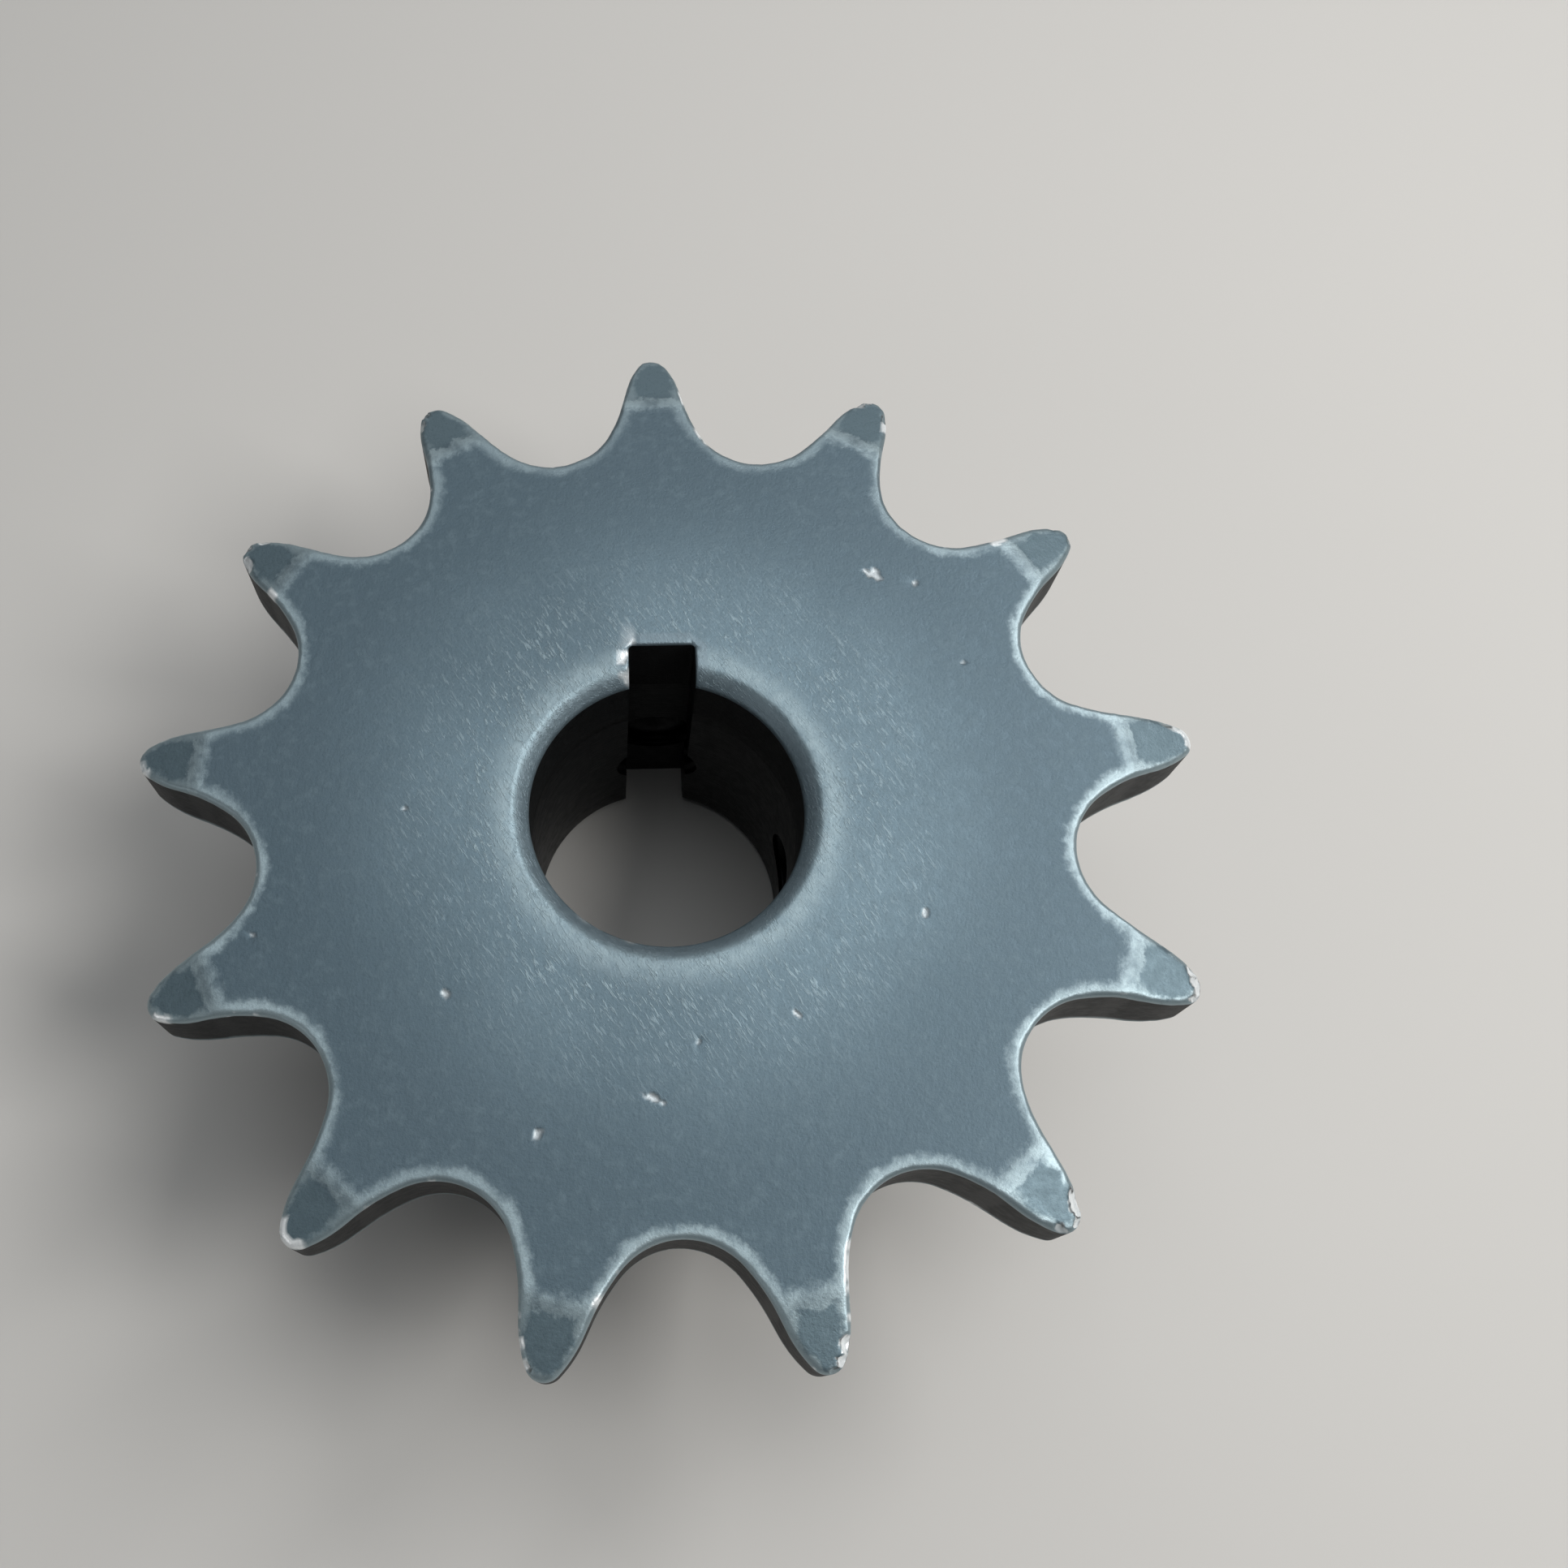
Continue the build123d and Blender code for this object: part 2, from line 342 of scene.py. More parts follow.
def point_on_tooth(outline, into, tooth, place, wanted_tooth, wanted_place):
    """The outline point at a place on a tooth, and the direction out of the metal."""
    i = np.argmin(np.abs(place - wanted_place) + 100 * (tooth != wanted_tooth))
    return outline[i], -into[i]


def local_grid(x, y, reach, spacing):
    """A round patch of closely spaced points."""
    n = math.ceil(reach / spacing)
    steps = np.arange(-n, n + 1) * spacing
    gx, gy = np.meshgrid(steps, steps)
    gx = gx + (np.arange(2 * n + 1) % 2)[:, None] * spacing / 2
    near = gx**2 + gy**2 < reach**2
    return np.column_stack([gx[near] + x, gy[near] + y])


def face_points(outer, void_p, void_n, patches):
    """Points that fill the face between its inset outline and the bore, closer in the patches."""
    rings = []
    for d in (0.04, 0.1, 0.17, 0.26, 0.42, 0.65, 0.95, 1.3):
        ring = void_p + void_n * d
        rings.append(ring[np.abs(from_void(ring) - d) < 0.02][:: 1 if d < 0.5 else 2])
    filled = [np.vstack(rings)]
    for r in (31.98, 32.2, 32.42, 32.64, 32.84, 33.2):
        count = int(2 * math.pi * r / 0.4)
        a = np.arange(count) * 2 * math.pi / count
        filled.append(np.column_stack([r * np.cos(a), r * np.sin(a)]))
    spacing = 0.85
    rows = int(2 * TIP_RADIUS / (spacing * 0.866)) + 2
    grid = []
    for j in range(-rows // 2, rows // 2 + 1):
        for i in range(-rows // 2, rows // 2 + 1):
            x = (i + (j % 2) / 2) * spacing
            y = j * spacing * 0.866
            wobble = noise.noise_vector(Vector((x * 3.1, y * 3.1, 7.7))) * 0.12
            grid.append((x + wobble.x, y + wobble.y))
    grid = np.array(grid)
    r = np.hypot(grid[:, 0], grid[:, 1])
    grid = grid[(from_void(grid) > 1.6) & (np.abs(r - 32.5) > 0.9) & (r < TIP_RADIUS)]
    filled.append(grid)
    coarse = np.vstack(filled)
    fine = []
    for x, y, reach, spacing in patches:
        coarse = coarse[np.hypot(coarse[:, 0] - x, coarse[:, 1] - y) > reach + 0.6 * spacing]
        if fine:
            done = np.vstack(fine)
            patch = local_grid(x, y, reach, spacing)
            fine.append(patch[nearest_on(patch, done)[1] > 0.7 * spacing])
        else:
            fine.append(local_grid(x, y, reach, spacing))
    fine = np.vstack(fine)
    coarse = coarse[inside_outline(coarse, outer)]
    fine = fine[inside_outline(fine, outer)]
    coarse = coarse[nearest_on(coarse, outer)[1] > 0.28]
    return np.vstack([coarse, fine[nearest_on(fine, outer)[1] > 0.1]])


def knock_chip(v, marks, corner, out, size, depth, tilt, bright, dark, seed):
    """Knocks a shell-shaped chip out of the upper edge at a corner point."""
    level = math.cos(math.radians(tilt))
    axis = np.array([out[0] * level, out[1] * level, math.sin(math.radians(tilt))])
    rounded_off = EDGE_ROUND * (math.sqrt(2) - 1)
    centre = corner + axis * (size - depth - rounded_off)
    for i in np.nonzero(np.linalg.norm(v - centre, axis=1) < size * 1.1)[0]:
        arm = v[i] - centre
        distance = np.linalg.norm(arm)
        rough = 0.13 * smooth_noise(*v[i], 2.2, seed) + 0.07 * smooth_noise(*v[i], 6.0, seed)
        drop = size + rough - distance
        if drop > 0 and v[i][2] > 0:
            inner_side = (v[i] - corner)[:2] @ out < -0.12
            marks["bare_and_glint"][i] = max(marks["bare_and_glint"][i], bright * min(1, drop / 0.06))
            # The chip's inner rim gets a painted shadow
            if inner_side and drop < 0.16:
                patchy = float(np.clip(0.6 + 1.8 * smooth_noise(*v[i], 2.4, seed + 5), 0, 1))
                marks["chip_rim_shadow"][i] = max(marks["chip_rim_shadow"][i], dark * patchy * min(1, drop / 0.02))
            v[i] += arm / distance * drop


def rub_and_glint_edges(v, marks, edge, tooth, place):
    """Marks the stretches of the upper edge rubbed to bare steel, which also serve as painted highlights,
    with ragged ends and sides.
    """
    for k, start, end, width in RUBS_AND_GLINTS:
        stretch = (tooth == k) & (place > start) & (place < end)
        for i in np.nonzero(stretch & (edge < width) & (v[:, 2] > 2.0))[0]:
            ends = min(1, (place[i] - start) / 0.25, (end - place[i]) / 0.25)
            below = crown(math.hypot(v[i][0], v[i][1])) - v[i][2]
            side = min(1, (width - edge[i]) / 0.1, (0.7 - below) / 0.3)
            ragged = 1.2 + 1.5 * smooth_noise(*v[i], 1.6, 4.4) + 0.9 * smooth_noise(*v[i], 4.0, 4.4)
            marks["bare_and_glint"][i] = max(marks["bare_and_glint"][i], float(np.clip(ends * side * ragged, 0, 1)))


def dent_face(v, marks):
    """Presses the nicks into the face, each with an irregular border."""
    for n, (x, y, length, width, turned) in enumerate(NICKS):
        along_dir, across_dir = unit(turned), unit(turned + 90)
        for i in np.nonzero((np.hypot(v[:, 0] - x, v[:, 1] - y) < length) & (v[:, 2] > 0))[0]:
            offset = v[i][:2] - np.array([x, y])
            reach = math.hypot(offset @ along_dir / (length / 2), offset @ across_dir / (width / 2))
            reach += 0.9 * smooth_noise(v[i][0], v[i][1], n, 2.2, 8.8)
            deep = min(max((1.15 - reach) / 0.6, 0), 1)
            v[i][2] -= 0.09 * deep * deep * (3 - 2 * deep)
            marks["bare_and_glint"][i] = max(marks["bare_and_glint"][i], 0.45 * deep * min(1, length / 0.9))


def crush_keyway_edge(v, marks, rim, is_wall):
    """Crushes the keyway's edge on -X, and wears the lip at the bottom of the bore."""
    for i in np.nonzero((rim < 1.0) & (v[:, 2] > 2.0) & ~is_wall)[0]:
        x, y = v[i][:2]
        ragged = 1 + 0.9 * smooth_noise(x, y, 0, 2.2, 2.1)
        crushed = max(1 - math.hypot(x - lx, y - ly) / (reach * ragged) for lx, ly, reach in CRUSHED)
        crushed = min(1, max(0, 2.2 * crushed))
        v[i][2] -= 0.14 * crushed
        turn = math.degrees(math.atan2(y, x))
        lip = min(1, max(0, (turn + 133) / 6), max(0, (-104 - turn) / 3)) * max(0, 1 - rim[i] / 0.3)
        lip *= float(np.clip(0.5 + 2.2 * smooth_noise(x, y, 0, 1.1, 6.1), 0, 1))
        v[i][2] -= 0.1 * lip
        marks["bare_and_glint"][i] = max(marks["bare_and_glint"][i], 0.9 * crushed, 0.8 * lip)


def build_plate():
    """The toothed plate, with worn edges, and attributes that tell its material where it is worn and where
    highlights and shade are painted.
    """
    outline, into = whole_outline()
    count = len(outline)
    radius = np.array([
        EDGE_ROUND * (1 + 0.32 * smooth_noise(x, y, 0, 0.55, 3.3) + 0.22 * smooth_noise(x, y, 0, 2.3, 9.1))
        for x, y in outline
    ])
    insets = np.array([0, 0.06, 0.17, 0.33, 0.54, 0.77, 1.0])
    void_p, void_n = bore_outline()
    last = outline + into * (radius + 0.45)[:, None]
    tooth, place = places_on_teeth(outline)
    patches = [(x, y, 0.75 * length, 0.13) for x, y, length, *_ in NICKS]
    for k, where, size, *_ in CHIPS:
        corner = point_on_tooth(outline, into, tooth, place, k, where)[0]
        patches.append((corner[0], corner[1], min(size, 1.5) + 0.4, 0.15))
    fill = face_points(last, void_p, void_n, patches)
    flat = np.vstack([last, void_p, fill])
    m = len(void_p)
    edges = [(i, (i + 1) % count) for i in range(count)]
    edges += [(count + i, count + (i + 1) % m) for i in range(m)]
    cdt = geometry.delaunay_2d_cdt([Vector(p) for p in flat.tolist()], edges, [], 1, 1e-6)
    source = [o[0] for o in cdt[3]]
    triangles = [tuple(source[i] for i in t) for t in cdt[2]]
    middle = np.array([flat[list(t)].mean(0) for t in triangles])
    in_void = inside_outline(middle, void_p)
    triangles = [t for t, v in zip(triangles, in_void) if not v]

    v, edge, rim, flank = [], [], [], []
    faces = []

    def add(points, z, e, b, f):
        start = len(v)
        for i in range(len(points)):
            v.append((points[i][0], points[i][1], z[i]))
            edge.append(e[i])
            rim.append(b[i])
            flank.append(f)
        return start

    far = nearest_on(flat, outline)[1]
    r_flat = np.hypot(flat[:, 0], flat[:, 1])
    void_d = np.maximum(from_void(flat), 0)
    top_z = crown(r_flat) - bore_mouth(r_flat) - rounding(void_d, LIP_ROUND)
    top = add(flat, top_z, far, void_d, 0)
    bottom = add(flat, -crown(r_flat), far, void_d, 0)
    faces += [(top + a, top + b, top + c) for a, b, c in triangles]
    faces += [(bottom + c, bottom + b, bottom + a) for a, b, c in triangles]

    # Rings from the top face, over the rounded edge, down the flank and under the other edge
    rows = [top + np.arange(count)]
    for side in (1, -1):
        if side == -1:
            high, low = v_edge_z, -v_edge_z
            for t in FLANK_ROWS:
                start = add(outline, high * (1 - t) + low * t, np.zeros(count), np.full(count, 9), 1)
                rows.append(start + np.arange(count))
        order = range(len(insets) + 1)
        if side == -1:
            order = reversed(order)
        for j in order:
            d = radius + 0.2 if j == 0 else radius * insets[::-1][j - 1]
            p = outline + into * d[:, None]
            z = crown(np.hypot(p[:, 0], p[:, 1])) - rounding(d, radius)
            if j == len(insets):
                v_edge_z = z
            start = add(p, side * z, d, np.full(count, 9), 0)
            rows.append(start + np.arange(count))
    rows.append(bottom + np.arange(count))
    faces += join_rings(rows)

    # Bore and keyway walls
    wall = [top + count + np.arange(m)]
    z_lip = top_z[count:count + m]
    for t in WALL_ROWS:
        start = add(void_p, z_lip * (1 - t) - FACE_Z * t, np.full(m, 9), np.zeros(m), 2)
        wall.append(start + np.arange(m))
    wall.append(bottom + count + np.arange(m))
    faces += join_rings(wall)

    v, edge, rim = np.array(v, float), np.array(edge), np.array(rim)
    flank = np.array(flank)
    under_hub = (rim < 0.01) & (v[:, 2] < 0)
    marks = {"bare_and_glint": np.zeros(len(v)), "chip_rim_shadow": np.zeros(len(v))}
    index = nearest_on(v[:, :2], outline)[0]
    rub_and_glint_edges(v, marks, edge, tooth[index], place[index])
    dent_face(v, marks)
    crush_keyway_edge(v, marks, rim, flank == 2)
    for n, (k, where, size, depth, tilt, bright, dark) in enumerate(CHIPS):
        at, out = point_on_tooth(outline, into, tooth, place, k, where)
        corner = np.array([at[0], at[1], float(crown(np.hypot(*at)))])
        knock_chip(v, marks, corner, out, size, depth, tilt, bright, dark, 11.3 + n)
    plate = make_object("plate", v, faces)
    add_attribute(plate, "edge", edge)
    add_attribute(plate, "rim", rim)
    add_attribute(plate, "flank", flank == 1)
    add_attribute(plate, "wall", (flank == 2) | under_hub)
    for name, values in marks.items():
        add_attribute(plate, name, values)
    return plate


# ---------------------------------------------------------------- materials
class Graph:
    """Builds one material's node tree. Values may be sockets or plain numbers."""

    def __init__(self, name):
        self.material = bpy.data.materials.new(name)
        self.material.use_nodes = True
        self.tree = self.material.node_tree
        self.shader = self.tree.nodes["Principled BSDF"]
        coords = self.tree.nodes.new("ShaderNodeTexCoord").outputs["Object"]
        in_mm = self.tree.nodes.new("ShaderNodeVectorMath")
        in_mm.operation = "SCALE"
        self.put(in_mm.inputs[0], coords)
        self.put(in_mm.inputs["Scale"], 1000.0)
        self.mm = in_mm.outputs[0]
        split = self.tree.nodes.new("ShaderNodeSeparateXYZ")
        self.tree.links.new(self.mm, split.inputs[0])
        self.x, self.y, self.z = split.outputs
        self.r = self.length(self.x, self.y)

    def put(self, socket, value):
        if isinstance(value, bpy.types.NodeSocket):
            self.tree.links.new(value, socket)
        else:
            socket.default_value = value

    def math(self, operation, a, b=None, c=None, clamp=False):
        node = self.tree.nodes.new("ShaderNodeMath")
        node.operation = operation
        node.use_clamp = clamp
        for socket, value in zip(node.inputs, (a, b, c)):
            if value is not None:
                self.put(socket, value)
        return node.outputs[0]

    def length(self, a, b):
        """The length of the vector (a, b)."""
        return self.math("SQRT", self.math("MULTIPLY_ADD", a, a, self.math("MULTIPLY", b, b)))

    def rest(self, value):
        """What is left of 1."""
        return self.math("SUBTRACT", 1.0, value)

    def shifted(self, value, texture, amount):
        """The value, moved up and down by a texture that varies about 0.5."""
        return self.math("MULTIPLY_ADD", self.math("SUBTRACT", texture, 0.5), amount, value)

    def attribute(self, name):
        node = self.tree.nodes.new("ShaderNodeAttribute")
        node.attribute_name = name
        return node.outputs["Fac"]

    def step(self, value, start, end, low=0.0, high=1.0):
        """A smooth change from low at start to high at end."""
        node = self.tree.nodes.new("ShaderNodeMapRange")
        node.interpolation_type = "SMOOTHSTEP"
        for socket, v in zip(node.inputs, (value, start, end, low, high)):
            self.put(socket, v)
        return node.outputs[0]

    def noise(self, scale, detail=3.0, rough=0.55, distortion=0.0, coords=None, seed=0.0):
        node = self.tree.nodes.new("ShaderNodeTexNoise")
        node.noise_dimensions = "4D"
        self.put(node.inputs["Vector"], self.mm if coords is None else coords)
        self.put(node.inputs["W"], seed)
        self.put(node.inputs["Scale"], scale)
        self.put(node.inputs["Detail"], detail)
        self.put(node.inputs["Roughness"], rough)
        self.put(node.inputs["Distortion"], distortion)
        return node.outputs["Fac"]

    def turned(self, degrees, stretch):
        """Coordinates turned about Z, then squeezed along the turned X, so noise runs in streaks."""
        node = self.tree.nodes.new("ShaderNodeMapping")
        node.vector_type = "TEXTURE"
        self.put(node.inputs["Vector"], self.mm)
        node.inputs["Rotation"].default_value = (0, 0, math.radians(degrees))
        node.inputs["Scale"].default_value = (stretch, 1, 1)
        return node.outputs[0]

    def mix(self, amount, a, b):
        """Colour a, turning into b by amount."""
        node = self.tree.nodes.new("ShaderNodeMix")
        node.data_type = "RGBA"
        self.put(node.inputs[0], amount)
        self.put(node.inputs[6], a if isinstance(a, bpy.types.NodeSocket) else (*a, 1))
        self.put(node.inputs[7], b if isinstance(b, bpy.types.NodeSocket) else (*b, 1))
        return node.outputs[2]

    def blend(self, amount, a, b):
        """Number a, turning into b by amount."""
        node = self.tree.nodes.new("ShaderNodeMix")
        for socket, v in zip(node.inputs, (amount, None, a, b)):
            if v is not None:
                self.put(socket, v)
        return node.outputs[0]

    def bell(self, value, centre, width):
        """1 at centre, falling off smoothly over width."""
        off = self.math("DIVIDE", self.math("SUBTRACT", value, centre), width)
        return self.math("EXPONENT", self.math("MULTIPLY", self.math("MULTIPLY", off, off), -1.0))

    def bump(self, height, distance):
        node = self.tree.nodes.new("ShaderNodeBump")
        self.put(node.inputs["Distance"], distance * MM)
        self.put(node.inputs["Height"], height)
        return node.outputs[0]

    def finish(self, **sockets):
        for name, value in sockets.items():
            self.put(self.shader.inputs[name.replace("_", " ")], value)
        return self.material


def colour(red, green, blue):
    """A linear colour from display values between 11 and 255."""
    return tuple(((c / 255 + 0.055) / 1.055) ** 2.4 for c in (red, green, blue))


def plate_steel():
    g = Graph("plate_steel")
    edge, rim = g.attribute("edge"), g.attribute("rim")
    flank, wall = g.attribute("flank"), g.attribute("wall")
    bare_and_glint, chip_rim_shadow = g.attribute("bare_and_glint"), g.attribute("chip_rim_shadow")
    side = g.math("MAXIMUM", flank, wall)
    on_face, off_wall = g.rest(side), g.rest(wall)
    broad = g.noise(0.07, 2, seed=1.0)
    patches = g.noise(0.35, 3, seed=2.0)
    medium = g.noise(1.3, 3, seed=3.0)
    fine = g.noise(5.0, 3, seed=4.0)
    grit = g.noise(14.0, 2, seed=5.0)

    # Dull oxide, mottled all over; darker over the outer ring as painted shade
    base = g.mix(g.step(g.r, 10, 27), colour(110, 131, 142), colour(82, 99, 109))
    base = g.mix(g.step(broad, 0.35, 0.7, 0, 0.5), base, colour(80, 98, 108))
    base = g.mix(g.step(medium, 0.45, 0.75, 0, 0.35), base, colour(112, 131, 141))
    base = g.mix(g.step(g.r, 32.6, 33.6), base, colour(98, 117, 126))
    base = g.mix(g.step(fine, 0.5, 0.3, 0, 0.3), base, colour(70, 88, 98))

    # Pale band along the tooth gaps, ragged on its inner side, and narrower past the crease
    ragged = g.shifted(g.shifted(g.shifted(edge, patches, 1.2), medium, 1.1), fine, 0.5)
    reach = g.step(g.r, 33.0, 34.6, 1.15, 0.6)
    gap_band = g.step(ragged, reach, g.math("MULTIPLY", reach, 0.3))
    # Fainter towards +Y: painted shade over the far teeth
    gap_band = g.math("MULTIPLY", gap_band, g.step(g.y, 8, 27, 1.0, 0.62))
    gap_band = g.math("MULTIPLY", gap_band, g.step(broad, 0.3, 0.65, 0.7, 1.0))
    gap_band = g.math("MULTIPLY", gap_band, on_face)

    # Pale, brushed band over the crease, strongest where it meets the gaps
    flame = g.noise(0.8, 4, 0.7, 0.4, seed=6.0)
    band_r = g.shifted(g.shifted(g.r, flame, 1.7), fine, 0.5)
    crease = g.math("MULTIPLY", g.step(band_r, 31.5, 32.3), g.step(band_r, 33.3, 32.95))
    crease = g.math("MULTIPLY", crease, g.step(edge, 2.6, 0.2, 0.6, 1.0))
    crease = g.math("MULTIPLY", crease, g.step(medium, 0.3, 0.6, 0.4, 0.95))

    # Short pale scratches round the bore, all leaning the same way, and a bright rim
    streaks = g.noise(6.0, 3, 0.6, 0.7, coords=g.turned(-57, 4.5), seed=7.0)
    clumps = g.step(g.noise(0.35, 3, seed=8.0), 0.3, 0.65, 0.35, 1.0)
    scratches = g.math("MULTIPLY", g.step(g.r, 23, 11), clumps)
    scratches = g.math("MULTIPLY", g.step(streaks, 0.5, 0.66), scratches)
    halo = g.math("MULTIPLY", g.bell(g.r, 11.2, 1.1), g.step(medium, 0.2, 0.7, 0.45, 1.0))
    halo = g.math("MULTIPLY", halo, off_wall)

    pale = g.math("MAXIMUM", g.math("MULTIPLY", gap_band, 0.75), g.math("MULTIPLY", crease, 0.74))
    pale = g.math("MAXIMUM", pale, g.math("MULTIPLY", halo, 0.5))
    pale = g.math("MAXIMUM", pale, g.math("MULTIPLY", scratches, 0.55))
    pale = g.math("MULTIPLY", pale, g.step(grit, 0.2, 0.55, 0.7, 1.0), clamp=True)
    skin = g.mix(pale, base, colour(168, 186, 192))

    # The chamfer is greyer; the flanks and the bore's walls are painted near black as painted shade
    chamfer = g.math("MULTIPLY", g.step(rim, 1.0, 0.75, 0, 0.6), off_wall)
    skin = g.mix(chamfer, skin, colour(122, 138, 147))
    painted_side_shade = g.mix(g.step(medium, 0.3, 0.7), colour(14, 16, 18), colour(34, 36, 37))
    skin = g.mix(side, skin, painted_side_shade)

    # Bare steel in chips and nicks, and near-white strips along the edges, rubbed steel that also serves
    # as painted highlights
    rubs_and_glints = g.step(g.noise(0.55, 3, 0.6, seed=9.0), 0.60, 0.70)
    rubs_and_glints = g.math("MULTIPLY", rubs_and_glints, g.step(edge, 0.28, 0.12, 0, 0.7))
    rubs_and_glints = g.math("MULTIPLY", rubs_and_glints, on_face)
    bright = g.math("MAXIMUM", rubs_and_glints, g.math("MULTIPLY", bare_and_glint, g.step(fine, 0.2, 0.5, 0.75, 1.0)))
    skin = g.mix(bright, skin, colour(240, 245, 247))
    # The chips' inner rims get a painted shadow
    skin = g.mix(chip_rim_shadow, skin, colour(20, 22, 24))

    rough = g.blend(pale, g.step(medium, 0.3, 0.7, 0.44, 0.54), 0.40)
    rough = g.blend(bright, rough, 0.28)
    rough = g.math("MULTIPLY_ADD", side, 0.1, rough)
    height = g.math("MULTIPLY_ADD", scratches, 0.5, g.math("MULTIPLY", fine, 0.6))
    height = g.math("MULTIPLY_ADD", grit, 0.25, height)
    height = g.math("MULTIPLY_ADD", medium, 0.8, height)
    metallic = g.blend(bright, 0.65, 0.35)
    return g.finish(Base_Color=skin, Roughness=rough, Metallic=metallic, Normal=g.bump(height, 0.03))


def hub_steel():
    g = Graph("hub_steel")
    patches, medium = g.noise(0.3, 3, seed=21.0), g.noise(1.2, 3, seed=22.0)
    fine = g.noise(5.0, 3, seed=23.0)
    around = g.tree.nodes.new("ShaderNodeCombineXYZ")
    g.put(around.inputs[0], g.math("MULTIPLY", g.r, 9.0))
    g.put(around.inputs[1], g.math("MULTIPLY", g.z, 9.0))
    g.put(around.inputs[2], g.math("MULTIPLY", g.math("ARCTAN2", g.y, g.x), 0.6))
    turning = g.noise(1.0, 2, seed=24.0, coords=around.outputs[0])
    far_off = 50.0

    def from_corner(r, z):
        return g.length(g.math("SUBTRACT", g.r, r), g.math("SUBTRACT", g.z, z))

    def from_hole(across, along_axis):
        """Distance from a screw hole's axis, on its own side of the hub."""
        distance = g.length(across, g.math("SUBTRACT", g.z, SCREW_Z))
        return g.math("MULTIPLY_ADD", g.math("LESS_THAN", along_axis, 0.0), far_off, distance)

    # Wear along the chamfers' edges and round the mouths of the screw holes
    corners = from_corner(HUB_RADIUS, HUB_END_Z + HUB_END_CHAMFER)
    for r, z in (
        (HUB_RADIUS - HUB_END_CHAMFER, HUB_END_Z),
        (BORE_RADIUS, HUB_END_Z + HUB_BORE_CHAMFER),
        (BORE_RADIUS + HUB_BORE_CHAMFER, HUB_END_Z),
    ):
        corners = g.math("MINIMUM", corners, from_corner(r, z))
    holes = g.math("MINIMUM", from_hole(g.x, g.y), from_hole(g.y, g.x))
    outside = g.math("GREATER_THAN", g.r, HUB_RADIUS - 0.6)
    mouth = g.math("ABSOLUTE", g.math("SUBTRACT", holes, 3.62))
    mouth = g.math("MULTIPLY_ADD", g.rest(outside), far_off, mouth)
    wear = g.shifted(g.shifted(g.math("MINIMUM", corners, mouth), medium, 0.7), fine, 0.3)
    pale = g.step(wear, 0.45, 0.08)

    # Turning marks, heat from the weld and a few scratches
    base = g.mix(g.step(patches, 0.3, 0.7), colour(96, 114, 124), colour(80, 96, 105))
    base = g.mix(g.step(turning, 0.55, 0.7, 0, 0.35), base, colour(128, 144, 152))
    base = g.mix(g.step(fine, 0.5, 0.3, 0, 0.35), base, colour(62, 76, 84))
    heat = g.math("MULTIPLY", g.step(g.shifted(g.z, patches, 3.0), -10.2, -6.6, 0, 0.6), outside)
    base = g.mix(heat, base, colour(66, 62, 64))
    scratched = g.noise(2.2, 2, 0.5, 0.3, coords=g.turned(35, 8.0), seed=25.0)
    base = g.mix(g.step(scratched, 0.66, 0.74, 0, 0.4), base, colour(160, 174, 180))
    skin = g.mix(g.math("MULTIPLY", pale, 0.85), base, colour(170, 184, 190))

    # The bore, the keyway and the screw holes are painted near black as painted shade
    in_hole = g.step(holes, 3.3, 3.2)
    painted_hollow_shade = g.math("MAXIMUM", g.step(g.r, BORE_RADIUS + 0.05, BORE_RADIUS + 0.02), in_hole)
    keyway = g.math("LESS_THAN", g.math("ABSOLUTE", g.x), KEY_HALF + 0.02)
    keyway = g.math("MULTIPLY", keyway, g.math("GREATER_THAN", g.y, 0.0))
    keyway = g.math("MULTIPLY", keyway, g.step(g.r, 12.6, 12.5))
    painted_hollow_shade = g.math("MAXIMUM", painted_hollow_shade, keyway)
    skin = g.mix(painted_hollow_shade, skin, g.mix(g.step(medium, 0.3, 0.7), colour(12, 13, 15), colour(26, 28, 30)))

    rough = g.blend(pale, g.step(medium, 0.3, 0.7, 0.38, 0.5), 0.33)
    thread = g.math("SINE", g.math("MULTIPLY", g.r, 2 * math.pi / THREAD_PITCH))
    thread = g.math("MULTIPLY", thread, in_hole)
    height = g.math("MULTIPLY_ADD", turning, 1.1, g.math("MULTIPLY", fine, 0.4))
    height = g.math("MULTIPLY_ADD", thread, 9.0, height)
    return g.finish(Base_Color=skin, Roughness=rough, Metallic=0.7, Normal=g.bump(height, 0.03))


def weld_metal():
    g = Graph("weld_metal")
    crest = g.attribute("crest")
    medium, fine = g.noise(1.1, 3, seed=31.0), g.noise(6.0, 3, seed=32.0)
    around = g.noise(0.12, 2, seed=33.0)
    base = g.mix(g.step(around, 0.35, 0.65), colour(92, 96, 98), colour(104, 98, 90))
    # Darker in the troughs between the ripples: painted shade
    base = g.mix(g.step(crest, 0.1, 0.9), colour(48, 46, 48), base)
    base = g.mix(g.step(medium, 0.55, 0.75, 0, 0.45), base, colour(76, 84, 104))
    base = g.mix(g.step(medium, 0.45, 0.25, 0, 0.4), base, colour(112, 92, 66))
    base = g.mix(g.step(fine, 0.62, 0.72, 0, 0.4), base, colour(158, 162, 164))
    rough = g.step(fine, 0.3, 0.7, 0.36, 0.58)
    height = g.math("MULTIPLY_ADD", fine, 0.7, g.math("MULTIPLY", medium, 0.5))
    return g.finish(Base_Color=base, Roughness=rough, Metallic=0.75, Normal=g.bump(height, 0.03))


